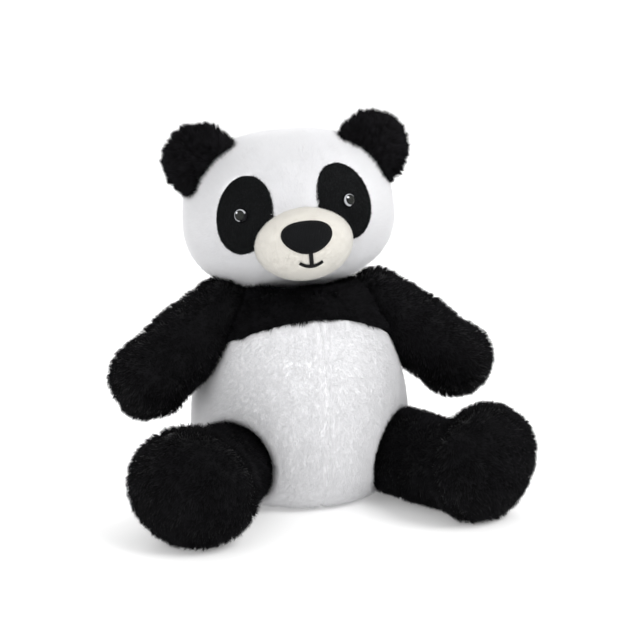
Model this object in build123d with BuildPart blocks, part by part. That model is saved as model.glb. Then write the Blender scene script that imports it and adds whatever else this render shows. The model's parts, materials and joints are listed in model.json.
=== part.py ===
from build123d import *

import os
from math import asin, cos, degrees, pi, radians, sin, sqrt

# A seated plush panda, 300 mm tall, in millimetres.
# +Z is up, the panda faces -Y, and its left side is +X. The origin is the centre of the
# round base, on the floor. Soft pieces are drawn at the foot of their pile, so the long
# fur stands proud of these solids.

# Cloth and clearances
cloth = 2.5  # plush backing with the dense foot of the pile
touch_gap = 0.3  # between pieces sewn to each other
fill_gap = 0.7  # between the stuffing and its cloth
move_gap = 1.2  # between pieces that move past each other
thread = 0.8  # width of a line of sewing thread
outline_steps = 24  # points along the outline of a turned form
wide = 400  # longer than the panda, for cutting slabs

# Torso: a pear that stands on a round base panel
base_radius = 54
torso_side = [(72, 11), (82, 34), (84, 60), (80, 90), (71, 118), (61, 140), (52, 154)]
torso_top_radius = 44
torso_top = 163
neck_hollow = 157  # the top dips to this height under the head
yoke_front = 146  # lower edge of the black yoke at the middle of the chest
yoke_armpit = 113  # and under the arms
yoke_armpit_x = 78
pellet_radius = 41
pellet_half_height = 15
pellet_height = 22

# Head: a rounded barrel lying along its own X axis
head_centre = (-7, 8, 222)
head_turn, head_tip, head_tilt = -8, -6, -5  # about Z, X and Y
head_half_width = 79
head_radius = 59
head_power = 2.35  # of its superellipse outline: 2 is an ellipse, higher is squarer
head_seam_y = -16  # the face panel meets the back panel here, through both ears
neck_height = 164
neck_radius = 14

# Face, in the head's frame
muzzle_centre = (3, -52, -25)
muzzle_half_width = 36.5
muzzle_radius = 27.5
muzzle_cloth = 2.0
face_shift, face_skew = -1, 1.3  # patches and eyes sit a little askew
patch_x, patch_z = 37, 0.8
patch_half_width, patch_half_height = 20, 29
patch_lean = 14  # the tops lean towards each other
patch_cloth = 1.8
eye_x, eye_z = 39.5, 1
eye_radius = 5.2
eye_dome = 3.4
stem_radius = 2.2
stem_length = 9
washer_radius = 7
washer_thickness = 1.5
nose_x, nose_z = 3, -18.5
nose_half_width, nose_rise, nose_drop = 18, 9, 12.5
nose_cloth = 3.5
mouth_x, mouth_z = 4.5, -41
mouth_half_width = 8.5
mouth_sag = 3
stitch_width = 2.2
stitch_height = 1.2

# Ears: round pads that sit in a slot of the head seam
ear_seats = {1: (67, 39), -1: (64, 42)}  # centres of the left and right ear, in X and Z
ear_radius = 24
ear_half_thickness = 10
ear_lean = 48  # from upright to the direction the ear points in
ear_root = 9.2  # from the ear's centre down to its fold line
ear_root_radius = 10.5
ear_fold_back = 12  # how far the ear folds back from rest

# Arms
shoulder = (60, 0, 148)
hand = (122, -20, 100)
arm_root_radius = 21.5
arm_hand_radius = 27
shoulder_plug_radius = 9
armhole_flare = 44  # the armhole opens this far about the swing axis

# Legs
hip = (66, -42, 35)
leg_splay = 31  # from straight ahead
ankle_reach = 60  # from the hip, along the leg
foot_reach = 84
leg_radius = 30
foot_height = 43
foot_radius = 42
foot_half_thickness = 31
foot_lean = 9  # the toes lean outwards
leg_tip_room = 25  # the leg opening lets the leg tip this far
hip_plug_radius = 12

sides = {"left": 1, "right": -1}
head_frame = Plane(
    Pos(*head_centre) * Rot(Z=head_turn) * Rot(X=head_tip) * Rot(Y=head_tilt)
)
neck = (head_centre[0], head_centre[1], neck_height)

os.makedirs("parts", exist_ok=True)


def save(piece, name):
    """Label a finished piece and write it under its node's name."""
    piece.part.label = name
    export_step(piece.part, f"parts/{name}.step")


def on_head(x, y, z):
    """A point of the head's frame, in the panda's frame."""
    return head_frame.from_local_coords(Vector(x, y, z))


def ball(centre, radius):
    with BuildPart(mode=Mode.PRIVATE) as made:
        with Locations(centre):
            Sphere(radius)
    return made.part


def turned(plane, draw_outline):
    """Revolve an outline, drawn above the plane's X axis, about that axis in two halves."""
    with BuildPart(mode=Mode.PRIVATE) as made:
        with BuildSketch(plane) as half:
            with BuildLine():
                outline = draw_outline()
                Line(outline @ 1, outline @ 0)
            make_face()
        axis = Axis(plane.origin, plane.x_dir)
        for way in (180, -180):
            revolve(half.sketch, axis=axis, revolution_arc=way, clean=False)
    return made.part


def spheroid(plane, half_length, radius, power=2):
    """A body of revolution about the plane's X axis, with a superellipse for its outline."""
    points = [(half_length, 0)]
    for step in range(1, outline_steps):
        angle = pi * step / outline_steps
        reach = abs(cos(angle)) ** (2 / power) * (1 if angle < pi / 2 else -1)
        points.append((half_length * reach, radius * sin(angle) ** (2 / power)))
    points.append((-half_length, 0))
    return turned(plane, lambda: Spline(*points))


def club(plane, root_radius, tip_radius, length):
    """A ball at the plane's origin drawn out along its X axis to a ball at length."""
    slope = degrees(asin((root_radius - tip_radius) / length))
    with BuildPart(mode=Mode.PRIVATE) as made:
        with BuildSketch(plane):
            with BuildLine():
                root = CenterArc((0, 0), root_radius, 90 - slope, 90 + slope)
                tip = CenterArc((length, 0), tip_radius, 0, 90 - slope)
                Line(root @ 0, tip @ 1)
                Line(root @ 1, tip @ 0)
            make_face()
        revolve(axis=Axis(plane.origin, plane.x_dir))
    return made.part


def head_form(inset):
    return spheroid(head_frame, head_half_width - inset, head_radius - inset, head_power)


def muzzle_form(inset):
    middle = Plane(on_head(*muzzle_centre), x_dir=head_frame.x_dir, z_dir=head_frame.z_dir)
    return spheroid(middle, muzzle_half_width - inset, muzzle_radius - inset)


def torso_form(inset):
    """The torso's outside, drawn in by inset all round."""
    base = (base_radius - inset / 2, inset)
    rim = (torso_top_radius - inset, torso_top - inset)
    side = [base] + [(r - inset, z) for r, z in torso_side] + [rim]
    with BuildPart(mode=Mode.PRIVATE) as made:
        with BuildSketch(Plane.YZ):
            with BuildLine():
                Line((0, inset), base)
                Spline(*side)
                Spline(rim, (0, neck_hollow - inset), tangents=[(-1, -0.3), (-1, 0)])
                Line((0, neck_hollow - inset), (0, inset))
            make_face()
        revolve(axis=Axis.Z)
    return made.part


def limb_plane(start, end):
    """A plane at start whose X axis runs towards end."""
    along = Vector(*end) - Vector(*start)
    return Plane(start, x_dir=along, z_dir=Vector(0, 0, 1).cross(along))


# ---- Openings that the limbs, neck and ears move in

arm_length = (Vector(*hand) - Vector(*shoulder)).length
leg_way = Vector(sin(radians(leg_splay)), -cos(radians(leg_splay)), 0)


def mirrored(point, side):
    x, y, z = point
    return (x * side, y, z)


def along_leg(reach, height, side):
    """A point this far out from the hip."""
    return mirrored((hip[0] + leg_way.X * reach, hip[1] + leg_way.Y * reach, height), side)


def arm_form(side, inset):
    frame = limb_plane(mirrored(shoulder, side), mirrored(hand, side))
    return club(frame, arm_root_radius - inset, arm_hand_radius - inset, arm_length)


def leg_form(side, inset):
    """A straight thigh joined to a round foot that faces outwards."""
    ankle = along_leg(ankle_reach, hip[2], side)
    foot = along_leg(foot_reach, foot_height, side)
    drop = sin(radians(foot_lean)) / cos(radians(foot_lean))
    foot_axis = Vector(leg_way.X * side, leg_way.Y, -drop)
    thigh = club(limb_plane(mirrored(hip, side), ankle), leg_radius - inset,
                 leg_radius - inset, ankle_reach)
    sole = spheroid(limb_plane(foot, Vector(*foot) + foot_axis),
                    foot_half_thickness - inset, foot_radius - inset)
    with BuildPart(mode=Mode.PRIVATE) as made:
        add(thigh)
        add(sole)
    return made.part


def flared_socket(frame, radius, flare, reach):
    """A ball socket at the frame's origin, opening along its X axis into a cone."""
    lip = (-radius * sin(radians(flare)), radius * cos(radians(flare)))
    mouth = radius / cos(radians(flare)) + reach * sin(radians(flare)) / cos(radians(flare))
    with BuildPart(mode=Mode.PRIVATE) as made:
        with BuildSketch(frame):
            with BuildLine():
                bowl = CenterArc((0, 0), radius, 90 + flare, 90 - flare)
                Polyline(lip, (reach, mouth), (reach, 0), bowl @ 1)
            make_face()
        revolve(axis=Axis(frame.origin, frame.x_dir))
    return made.part


def arm_opening(side):
    """The armhole: round about the swing axis, so that the arm can swing any way."""
    frame = Plane(mirrored(shoulder, side), x_dir=(side, 0, 0), z_dir=(0, 1, 0))
    return flared_socket(frame, arm_root_radius + move_gap, armhole_flare, arm_length)


def leg_opening(side):
    """The room around the hip, so that the leg can tip a little any way."""
    frame = limb_plane(mirrored(hip, side), along_leg(ankle_reach, hip[2], side))
    return flared_socket(frame, leg_radius + move_gap, leg_tip_room, foot_reach)


def ear_frame(side):
    """At the middle of the fold line: X along it, Y out of the ear's back, Z out of the head."""
    lean = radians(ear_lean)
    out = Vector(sin(lean) * side, 0, cos(lean))
    seat_x, seat_z = ear_seats[side]
    centre = Vector(seat_x * side, head_seam_y, seat_z)
    fold = centre - out * ear_root
    along = Vector(0, 1, 0).cross(out)
    origin = on_head(*fold)
    x_dir = on_head(*(fold + along)) - origin
    z_dir = on_head(*(fold + out)) - origin
    return Plane(origin, x_dir=x_dir, z_dir=z_dir)


def ear_slot(side):
    """A round-bottomed groove along the ear's fold line."""
    frame = ear_frame(side)
    half_length = sqrt(ear_radius**2 - ear_root**2) + move_gap
    end = Plane(frame.origin - frame.x_dir * half_length, x_dir=frame.y_dir, z_dir=frame.x_dir)
    with BuildPart(mode=Mode.PRIVATE) as made:
        with BuildSketch(end):
            Circle(ear_root_radius + move_gap)
        extrude(amount=2 * half_length)
    return made.part


def ear_room(side, fold):
    """The room the ear's pad takes above its fold line, folded back by so many degrees."""
    frame = ear_frame(side)
    back = radians(fold)
    out = frame.z_dir * cos(back) + frame.y_dir * sin(back)
    behind = frame.y_dir * cos(back) - frame.z_dir * sin(back)
    middle = frame.origin + out * ear_root
    with BuildPart(mode=Mode.PRIVATE) as made:
        add(spheroid(Plane(middle, x_dir=behind, z_dir=frame.x_dir),
                     ear_half_thickness + move_gap, ear_radius + move_gap))
        split(bisect_by=Plane(frame.origin, x_dir=frame.x_dir, z_dir=out), keep=Keep.TOP)
    return made.part


def on_face(x, z, side):
    """Where a patch or an eye sits, seen from the front."""
    return x * side + face_shift, z + face_skew * side


def eye_plane(side):
    """Tangent to the head at the middle of an eye, with its Z axis pointing out."""
    x, z = on_face(eye_x, eye_z, side)
    across = (abs(x) / head_half_width) ** head_power
    round_reach = head_radius * (1 - across) ** (1 / head_power)
    depth = sqrt(round_reach**2 - z**2)
    slope_x = (abs(x) / head_half_width) ** (head_power - 1) / head_half_width
    slope_r = (round_reach / head_radius) ** (head_power - 1) / head_radius
    out = Vector(slope_x * side, -slope_r * depth / round_reach, slope_r * z / round_reach)
    origin = on_head(x, -depth, z)
    z_dir = on_head(*(Vector(x, -depth, z) + out.normalized())) - origin
    return Plane(origin, x_dir=head_frame.z_dir.cross(z_dir), z_dir=z_dir)


def neck_socket():
    return ball(neck, neck_radius + move_gap)


def torso_openings():
    rooms = [neck_socket()]
    for side in sides.values():
        rooms += [arm_opening(side), leg_opening(side)]
    return rooms


# ---- Torso


def above_yoke_edge(drop):
    """Everything above the arch where the black yoke meets the white panels."""
    with BuildPart(mode=Mode.PRIVATE) as made:
        with BuildSketch(Plane.XZ.offset(-wide / 2)):
            with BuildLine():
                arch = ThreePointArc((-yoke_armpit_x, yoke_armpit - drop),
                                     (0, yoke_front - drop),
                                     (yoke_armpit_x, yoke_armpit - drop))
                Polyline(arch @ 1, (wide / 2, yoke_armpit - drop), (wide / 2, wide),
                         (-wide / 2, wide), (-wide / 2, yoke_armpit - drop), arch @ 0)
            make_face()
        extrude(amount=wide)
    return made.part


def torso_skin():
    with BuildPart(mode=Mode.PRIVATE) as made:
        add(torso_form(0))
        add(torso_form(cloth), mode=Mode.SUBTRACT, clean=False)
        for opening in torso_openings():
            add(opening, mode=Mode.SUBTRACT, clean=False)
    return made.part


def white_skin():
    """The torso's cloth below the yoke and around the base panel."""
    with BuildPart(mode=Mode.PRIVATE) as made:
        add(torso_skin())
        add(above_yoke_edge(touch_gap), mode=Mode.SUBTRACT, clean=False)
        with BuildSketch(Plane.XY):
            Circle(base_radius - cloth + touch_gap)
        extrude(amount=cloth, mode=Mode.SUBTRACT, clean=False)
    return made.part


panel_edge = thread / 2 + touch_gap
for name, side in sides.items():
    for panel, facing in {"belly": -1, "back": 1}.items():
        corner = (side * (panel_edge + wide / 2), facing * (touch_gap / 2 + wide / 2), 0)
        with BuildPart() as quarter:
            add(white_skin())
            with Locations(corner):
                Box(wide, wide, wide, mode=Mode.INTERSECT)
        save(quarter, f"{panel}_panel_{name}")

for seam, facing in {"front_seam": -1, "back_seam": 1}.items():
    with BuildPart() as line:
        add(white_skin())
        with Locations((0, facing * wide / 2, 0)):
            Box(thread, wide, wide, mode=Mode.INTERSECT)
    save(line, seam)

with BuildPart() as shoulder_yoke:
    add(torso_skin())
    add(above_yoke_edge(0), mode=Mode.INTERSECT, clean=False)
save(shoulder_yoke, "shoulder_yoke")

with BuildPart() as base_panel:
    with BuildSketch(Plane.XY):
        Circle(base_radius - cloth)
    extrude(amount=cloth)
save(base_panel, "base_panel")

pellet_frame = Plane((0, 0, pellet_height), x_dir=(0, 0, 1), z_dir=(0, 1, 0))
with BuildPart() as pellet_bag:
    add(spheroid(pellet_frame, pellet_half_height, pellet_radius, head_power))
save(pellet_bag, "pellet_bag")

pellet_room = spheroid(pellet_frame, pellet_half_height + touch_gap,
                       pellet_radius + touch_gap, head_power)
with BuildPart() as torso_stuffing:
    add(torso_form(cloth + fill_gap))
    for opening in [pellet_room] + torso_openings():
        add(opening, mode=Mode.SUBTRACT, clean=False)
save(torso_stuffing, "torso_stuffing")


# ---- Neck

with BuildPart() as neck_plug:
    add(ball(neck, neck_radius))
save(neck_plug, "neck_plug")


# ---- Head

seam_plane = Plane(on_head(0, head_seam_y, 0), x_dir=head_frame.x_dir, z_dir=head_frame.y_dir)
eye_planes = {name: eye_plane(side) for name, side in sides.items()}


def stem_hole(plane, radius, depth):
    """A round hole into the head along an eye's axis, from above its patch."""
    with BuildPart(mode=Mode.PRIVATE) as made:
        with BuildSketch(plane.offset(-depth)):
            Circle(radius)
        extrude(amount=depth + washer_radius)
    return made.part


def stem_holes():
    return [stem_hole(plane, stem_radius + touch_gap, 2 * stem_length)
            for plane in eye_planes.values()]


def washer_rooms():
    return [stem_hole(plane, washer_radius + touch_gap, stem_length + move_gap)
            for plane in eye_planes.values()]


def ear_slots():
    """The slots for the roots, and room for the pads from rest to folded back."""
    openings = []
    for side in sides.values():
        openings += [ear_slot(side), ear_room(side, 0), ear_room(side, ear_fold_back)]
    return openings


def head_skin():
    with BuildPart(mode=Mode.PRIVATE) as made:
        add(head_form(0))
        add(head_form(cloth), mode=Mode.SUBTRACT, clean=False)
        for opening in ear_slots() + stem_holes() + [neck_socket()]:
            add(opening, mode=Mode.SUBTRACT, clean=False)
    return made.part


head_parts = {
    "head_front": (None, -panel_edge),
    "head_seam": (-thread / 2, thread / 2),
    "head_back": (panel_edge, None),
}
for name, (front_edge, back_edge) in head_parts.items():
    with BuildPart() as slice_of_skin:
        add(head_skin())
        if front_edge is not None:
            split(bisect_by=seam_plane.offset(front_edge), keep=Keep.TOP)
        if back_edge is not None:
            split(bisect_by=seam_plane.offset(back_edge), keep=Keep.BOTTOM)
    save(slice_of_skin, name)

with BuildPart() as head_stuffing:
    add(head_form(cloth + fill_gap))
    for opening in ear_slots() + washer_rooms() + [neck_socket()]:
        add(opening, mode=Mode.SUBTRACT, clean=False)
save(head_stuffing, "head_stuffing")


# ---- Muzzle, nose and mouth

with BuildPart() as muzzle:
    add(muzzle_form(0))
    add(muzzle_form(muzzle_cloth), mode=Mode.SUBTRACT, clean=False)
    add(head_form(-touch_gap), mode=Mode.SUBTRACT, clean=False)
save(muzzle, "muzzle")

with BuildPart() as muzzle_stuffing:
    add(muzzle_form(muzzle_cloth + fill_gap))
    add(head_form(-touch_gap), mode=Mode.SUBTRACT, clean=False)
save(muzzle_stuffing, "muzzle_stuffing")

# Faces are drawn on a plane through the head's middle that looks straight ahead,
# with its X axis to the head's left and its Y axis up.
face = Plane(head_frame.origin, x_dir=head_frame.x_dir, z_dir=-head_frame.y_dir)
face_reach = 70
muzzle_face = face.offset(-muzzle_centre[1])

# A rounded triangle that points down, a little flat along its top.
nose_points = [(0, nose_rise), (0.8, 0.9 * nose_rise), (1, 0.2 * nose_rise),
               (0.55, -0.62 * nose_drop), (0, -nose_drop), (-0.55, -0.62 * nose_drop),
               (-1, 0.2 * nose_rise), (-0.8, 0.9 * nose_rise)]


def nose_outline():
    points = [(nose_x + nose_half_width * x, nose_z + z) for x, z in nose_points]
    with BuildSketch(mode=Mode.PRIVATE) as made:
        with BuildLine():
            Spline(*points, periodic=True)
        make_face()
    return made.sketch


with BuildPart() as nose:
    with BuildSketch(muzzle_face):
        add(nose_outline())
    extrude(amount=face_reach)
    add(muzzle_form(-nose_cloth), mode=Mode.INTERSECT, clean=False)
    add(muzzle_form(-touch_gap), mode=Mode.SUBTRACT, clean=False)
save(nose, "nose")

with BuildPart() as mouth_stitch:
    with BuildSketch(muzzle_face):
        with BuildLine():
            ends = mouth_z + mouth_sag
            low, high = (
                ThreePointArc((mouth_x - mouth_half_width, ends + edge), (mouth_x, mouth_z + edge),
                              (mouth_x + mouth_half_width, ends + edge))
                for edge in (-stitch_width / 2, stitch_width / 2)
            )
            Line(low @ 0, high @ 0)
            Line(low @ 1, high @ 1)
        make_face()
        bar_top = nose_z - nose_drop - stitch_width / 2
        with Locations((mouth_x, (bar_top + mouth_z) / 2)):
            Rectangle(stitch_width, bar_top - mouth_z)
    extrude(amount=face_reach)
    add(muzzle_form(-stitch_height), mode=Mode.INTERSECT, clean=False)
    add(muzzle_form(-touch_gap), mode=Mode.SUBTRACT, clean=False)
save(mouth_stitch, "mouth_stitch")


# ---- Eyes

washer_depth = cloth + 2 * touch_gap + washer_radius**2 / (2 * head_radius)

for index, (name, side) in enumerate(sides.items()):
    with BuildPart() as eye_patch:
        with BuildSketch(face):
            with Locations(Location(on_face(patch_x, patch_z, side), patch_lean * side)):
                Ellipse(patch_half_width, patch_half_height)
        extrude(amount=face_reach)
        add(head_form(-touch_gap - patch_cloth), mode=Mode.INTERSECT, clean=False)
        for room in [head_form(-touch_gap), muzzle_form(-move_gap), stem_holes()[index]]:
            add(room, mode=Mode.SUBTRACT, clean=False)
    save(eye_patch, f"eye_patch_{name}")

    # A glossy dome on a stem that goes through the patch and the head's cloth.
    dome_base = 2 * touch_gap + patch_cloth
    stand = Plane(eye_planes[name].origin, x_dir=eye_planes[name].x_dir,
                  z_dir=-eye_planes[name].y_dir)
    with BuildPart() as eye:
        with BuildSketch(stand):
            with BuildLine():
                Polyline((0, dome_base + eye_dome), (0, -stem_length),
                         (stem_radius, -stem_length), (stem_radius, dome_base),
                         (eye_radius, dome_base))
                TangentArc((0, dome_base + eye_dome), (eye_radius, dome_base), tangent=(1, 0))
            make_face()
        revolve(axis=Axis(stand.origin, stand.y_dir))
    save(eye, f"eye_{name}")

    with BuildPart() as eye_washer:
        with BuildSketch(eye_planes[name].offset(-washer_depth - washer_thickness)):
            Circle(washer_radius)
            Circle(stem_radius + touch_gap / 6, mode=Mode.SUBTRACT)
        extrude(amount=washer_thickness)
    save(eye_washer, f"eye_washer_{name}")


# ---- Ears

for name, side in sides.items():
    frame = ear_frame(side)
    middle = frame.origin + frame.z_dir * ear_root
    pad = spheroid(Plane(middle, x_dir=frame.y_dir, z_dir=frame.x_dir),
                   ear_half_thickness, ear_radius)
    # Below the fold line the pad is turned to a round root that fits its slot.
    with BuildPart() as root_waste:
        with BuildSketch(Plane(frame.origin - frame.x_dir * wide / 2, x_dir=frame.y_dir,
                               z_dir=frame.x_dir)):
            with BuildLine():
                Polyline((-wide / 2, 0), (wide / 2, 0), (wide / 2, -wide / 2),
                         (-wide / 2, -wide / 2), (-wide / 2, 0))
            make_face()
            Circle(ear_root_radius, mode=Mode.SUBTRACT)
        extrude(amount=wide)
    for panel, way in {"front": -1, "back": 1}.items():
        with BuildPart() as ear_half:
            add(pad)
            add(root_waste.part, mode=Mode.SUBTRACT, clean=False)
            split(bisect_by=Plane(frame.origin + frame.y_dir * way * touch_gap / 2,
                                  x_dir=frame.x_dir, z_dir=frame.y_dir * way), keep=Keep.TOP)
        save(ear_half, f"ear_{panel}_{name}")


# ---- Arms and legs

for name, side in sides.items():
    shoulder_point = mirrored(shoulder, side)
    hip_point = mirrored(hip, side)

    with BuildPart() as arm_cover:
        add(arm_form(side, 0))
        add(arm_form(side, cloth), mode=Mode.SUBTRACT, clean=False)
    save(arm_cover, f"arm_cover_{name}")

    with BuildPart() as arm_stuffing:
        add(arm_form(side, cloth + fill_gap))
        add(ball(shoulder_point, shoulder_plug_radius + move_gap), mode=Mode.SUBTRACT, clean=False)
    save(arm_stuffing, f"arm_stuffing_{name}")

    with BuildPart() as shoulder_plug:
        add(ball(shoulder_point, shoulder_plug_radius))
    save(shoulder_plug, f"shoulder_plug_{name}")

    with BuildPart() as leg_cover:
        add(leg_form(side, 0))
        add(leg_form(side, cloth), mode=Mode.SUBTRACT, clean=False)
    save(leg_cover, f"leg_cover_{name}")

    with BuildPart() as leg_stuffing:
        add(leg_form(side, cloth + fill_gap))
        add(ball(hip_point, hip_plug_radius + move_gap), mode=Mode.SUBTRACT, clean=False)
    save(leg_stuffing, f"leg_stuffing_{name}")

    with BuildPart() as hip_plug:
        add(ball(hip_point, hip_plug_radius))
    save(hip_plug, f"hip_plug_{name}")
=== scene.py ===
"""A seated plush panda: cloth skins, real pile, stitched face and a pale studio.

Sizes are in millimetres until a mesh is made. Skins are wrapped over the CAD pieces of the
frame, so every soft piece has the place and size of the solid that it stands for.
"""

import json
import math

import bmesh
import bpy
import numpy as np
from mathutils import Matrix, Vector
from mathutils.bvhtree import BVHTree
from mathutils.kdtree import KDTree


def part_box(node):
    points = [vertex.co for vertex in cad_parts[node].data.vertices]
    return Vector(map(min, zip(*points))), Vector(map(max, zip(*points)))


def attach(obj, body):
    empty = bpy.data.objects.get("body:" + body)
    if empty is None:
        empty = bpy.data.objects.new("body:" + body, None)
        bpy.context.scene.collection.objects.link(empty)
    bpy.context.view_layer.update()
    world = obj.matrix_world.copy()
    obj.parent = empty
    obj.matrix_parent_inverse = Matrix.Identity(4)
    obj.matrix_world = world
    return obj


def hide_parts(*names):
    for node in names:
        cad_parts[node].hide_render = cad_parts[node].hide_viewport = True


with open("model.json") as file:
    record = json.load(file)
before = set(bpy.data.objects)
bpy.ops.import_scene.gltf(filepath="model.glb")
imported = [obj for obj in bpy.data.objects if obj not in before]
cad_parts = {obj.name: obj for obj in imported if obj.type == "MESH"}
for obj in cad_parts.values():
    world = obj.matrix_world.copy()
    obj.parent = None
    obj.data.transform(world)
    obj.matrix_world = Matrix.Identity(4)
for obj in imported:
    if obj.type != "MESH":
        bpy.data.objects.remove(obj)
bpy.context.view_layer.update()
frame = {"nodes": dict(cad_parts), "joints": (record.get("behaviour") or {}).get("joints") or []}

MM = 0.001
SIDES = {"left": 1, "right": -1}
REACH = 400.0  # farther than any point of the panda from its middle
SKIN_LEVEL = 7
SMALL_SKIN_LEVEL = 6
PANEL_STRANDS = 48000  # on each white panel and each side of the back of the head
FACE_STRANDS = 40000  # on each side of the face, and on the muzzle
LIMB_STRANDS = 19500  # on each arm, thigh, foot and half of the yoke
EAR_STRANDS = 15000
PATCH_STRANDS = 16000
CLOTH = 1.2  # thickness of a skin
FILL_INSET = 3.2  # from a plush skin in to its filling
PAD_SINK = -0.4  # how far a sewn-on pad goes into what it is sewn to

# The head's own axes, as the CAD turns them
HEAD_TURN, HEAD_TIP, HEAD_TILT = -8, -6, -5

# Face, in the head's frame
FACE_SHIFT, FACE_SKEW = -1, 1.3
PATCH_X, PATCH_Z = 37, 0.8
PATCH_HALF_WIDTH, PATCH_HALF_HEIGHT = 20, 29
PATCH_LEAN = 14
MUZZLE_CENTRE = (3, -52, -25)
MUZZLE_HALF_WIDTH, MUZZLE_RADIUS = 36.5, 27.5
NOSE_X, NOSE_Z = 3, -18.5
NOSE_HALF_WIDTH, NOSE_RISE, NOSE_DROP = 18, 9, 12.5
MOUTH_X, MOUTH_Z = 4.5, -41
MOUTH_HALF_WIDTH, MOUTH_SAG = 8.5, 3
SEAM_Y = -16

# Torso panels
YOKE_FRONT, YOKE_ARMPIT, YOKE_ARMPIT_X = 146, 113, 78
BASE_EDGE = 52.5


# ---- Vectors and surfaces


def unit(v):
    return v / np.maximum(np.linalg.norm(v, axis=-1, keepdims=True), 1e-9)


def box_mm(*nodes):
    """The lowest and highest corners of some CAD nodes together."""
    corners = [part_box(node) for node in nodes]
    low = np.min([np.array(c[0]) for c in corners], axis=0) / MM
    high = np.max([np.array(c[1]) for c in corners], axis=0) / MM
    return low, high


def middle(*nodes):
    low, high = box_mm(*nodes)
    return (low + high) / 2


def joint_point(name):
    found = next(j for j in frame["joints"] if j["name"] == name)
    return np.array(found["pos_m"]) / MM


def cad_tree(nodes):
    """A ray-casting tree of some CAD nodes' faces."""
    points, faces, start = [], [], 0
    for name in nodes:
        mesh = frame["nodes"][name].data
        mesh.calc_loop_triangles()
        co = np.empty(len(mesh.vertices) * 3, np.float32)
        mesh.vertices.foreach_get("co", co)
        tri = np.empty(len(mesh.loop_triangles) * 3, np.int32)
        mesh.loop_triangles.foreach_get("vertices", tri)
        points.append(co.reshape(-1, 3) / MM)
        faces.append(tri.reshape(-1, 3) + start)
        start += len(mesh.vertices)
    return BVHTree.FromPolygons(np.vstack(points).tolist(), np.vstack(faces).tolist())


def unit_ball(level):
    ball = bmesh.new()
    bmesh.ops.create_icosphere(ball, subdivisions=level, radius=1)
    points = np.array([v.co[:] for v in ball.verts])
    faces = np.array([[v.index for v in f.verts] for f in ball.faces])
    ball.free()
    return points, faces


def wrap(nodes, centre, level):
    """A closed skin over some CAD nodes: the first thing met on the way in to centre."""
    tree = cad_tree(nodes)
    ways, faces = unit_ball(level)
    centre = np.asarray(centre, float)
    rng = np.random.default_rng(level)
    best = np.zeros(len(ways))
    for jitter in (0.0, 0.006, 0.006):
        turned = unit(ways + rng.normal(size=ways.shape) * jitter)
        for i, way in enumerate(turned):
            start = centre + way * REACH
            hit = tree.ray_cast(start.tolist(), (-way).tolist())
            if hit[3] is not None:
                best[i] = max(best[i], REACH - hit[3])
    return centre + ways * best[:, None], faces


def edges_of(faces):
    pairs = np.sort(np.vstack([faces[:, [0, 1]], faces[:, [1, 2]], faces[:, [2, 0]]]), axis=1)
    return np.unique(pairs, axis=0)


def relax(points, faces, rounds, strength=0.5, only=None):
    """Even out a surface by moving each point towards the mean of its neighbours. only is a
    share for each point, 1 where it moves freely and 0 where it stays."""
    share = strength if only is None else strength * only[:, None]
    pairs = edges_of(faces)
    both = np.vstack([pairs, pairs[:, ::-1]])
    count = np.bincount(both[:, 0], minlength=len(points))[:, None]
    for _ in range(rounds):
        total = np.stack([np.bincount(both[:, 0], points[both[:, 1], k], len(points))
                          for k in range(3)], axis=1)
        points = points + share * (total / np.maximum(count, 1) - points)
    return points


def normals_of(points, faces):
    corner = points[faces]
    flat = np.cross(corner[:, 1] - corner[:, 0], corner[:, 2] - corner[:, 0])
    total = np.stack([np.bincount(faces.ravel(), np.repeat(flat[:, k], 3), len(points))
                      for k in range(3)], axis=1)
    return unit(total)


def waves(points, size, seed, parts=7):
    """A smooth random vector field, about -1 to 1, whose lumps are about size wide."""
    rng = np.random.default_rng(seed)
    field = np.zeros((len(points), 3))
    for k in range(3):
        for _ in range(parts):
            way = rng.normal(size=3)
            way *= math.tau / size / np.linalg.norm(way) * rng.uniform(0.5, 1.3)
            field[:, k] += np.sin(points @ way + rng.uniform(0, math.tau))
    return field / math.sqrt(parts)


def bell(x, centre, width):
    return np.exp(-((x - centre) / width) ** 2)


def snap_to(points, faces, level):
    """Move points onto the line where level is zero, so that faces can be parted along it."""
    for _ in range(2):
        value = level(points)
        pairs = edges_of(faces)
        a, b = pairs[:, 0], pairs[:, 1]
        cross = value[a] * value[b] < 0
        a, b = a[cross], b[cross]
        share = value[a] / (value[a] - value[b])
        spot = points[a] + (points[b] - points[a]) * share[:, None]
        mover = np.where(share < 0.5, a, b)
        points = points.copy()
        points[mover] = spot
    return points


def part_of(points, faces, inside):
    """The faces whose middles are inside, with only the points that they use."""
    kept = faces[inside(points[faces].mean(axis=1))]
    used, index = np.unique(kept, return_inverse=True)
    return points[used], index.reshape(-1, 3)


def tree_of(points, faces):
    return BVHTree.FromPolygons(points.tolist(), faces.tolist())


# ---- Meshes and pieces


def mesh_object(name, points, faces, uv=None, normals=None):
    mesh = bpy.data.meshes.new(name)
    mesh.vertices.add(len(points))
    mesh.vertices.foreach_set("co", (points * MM).astype(np.float32).ravel())
    mesh.loops.add(len(faces) * 3)
    mesh.loops.foreach_set("vertex_index", faces.astype(np.int32).ravel())
    mesh.polygons.add(len(faces))
    mesh.polygons.foreach_set("loop_start", np.arange(len(faces), dtype=np.int32) * 3)
    mesh.polygons.foreach_set("use_smooth", np.ones(len(faces), bool))
    if uv is not None:
        layer = mesh.uv_layers.new(name="OFBake")
        layer.data.foreach_set("uv", uv.astype(np.float32).ravel())
    mesh.update(calc_edges=True)
    if normals is not None:
        mesh.normals_split_custom_set_from_vertices(normals.astype(np.float32))
    made = bpy.data.objects.new(name, mesh)
    bpy.context.scene.collection.objects.link(made)
    return made


def place(piece, body, material, stands_for=()):
    piece.data.materials.append(material)
    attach(piece, body)
    if stands_for:
        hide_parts(*stands_for)
    return piece


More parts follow.
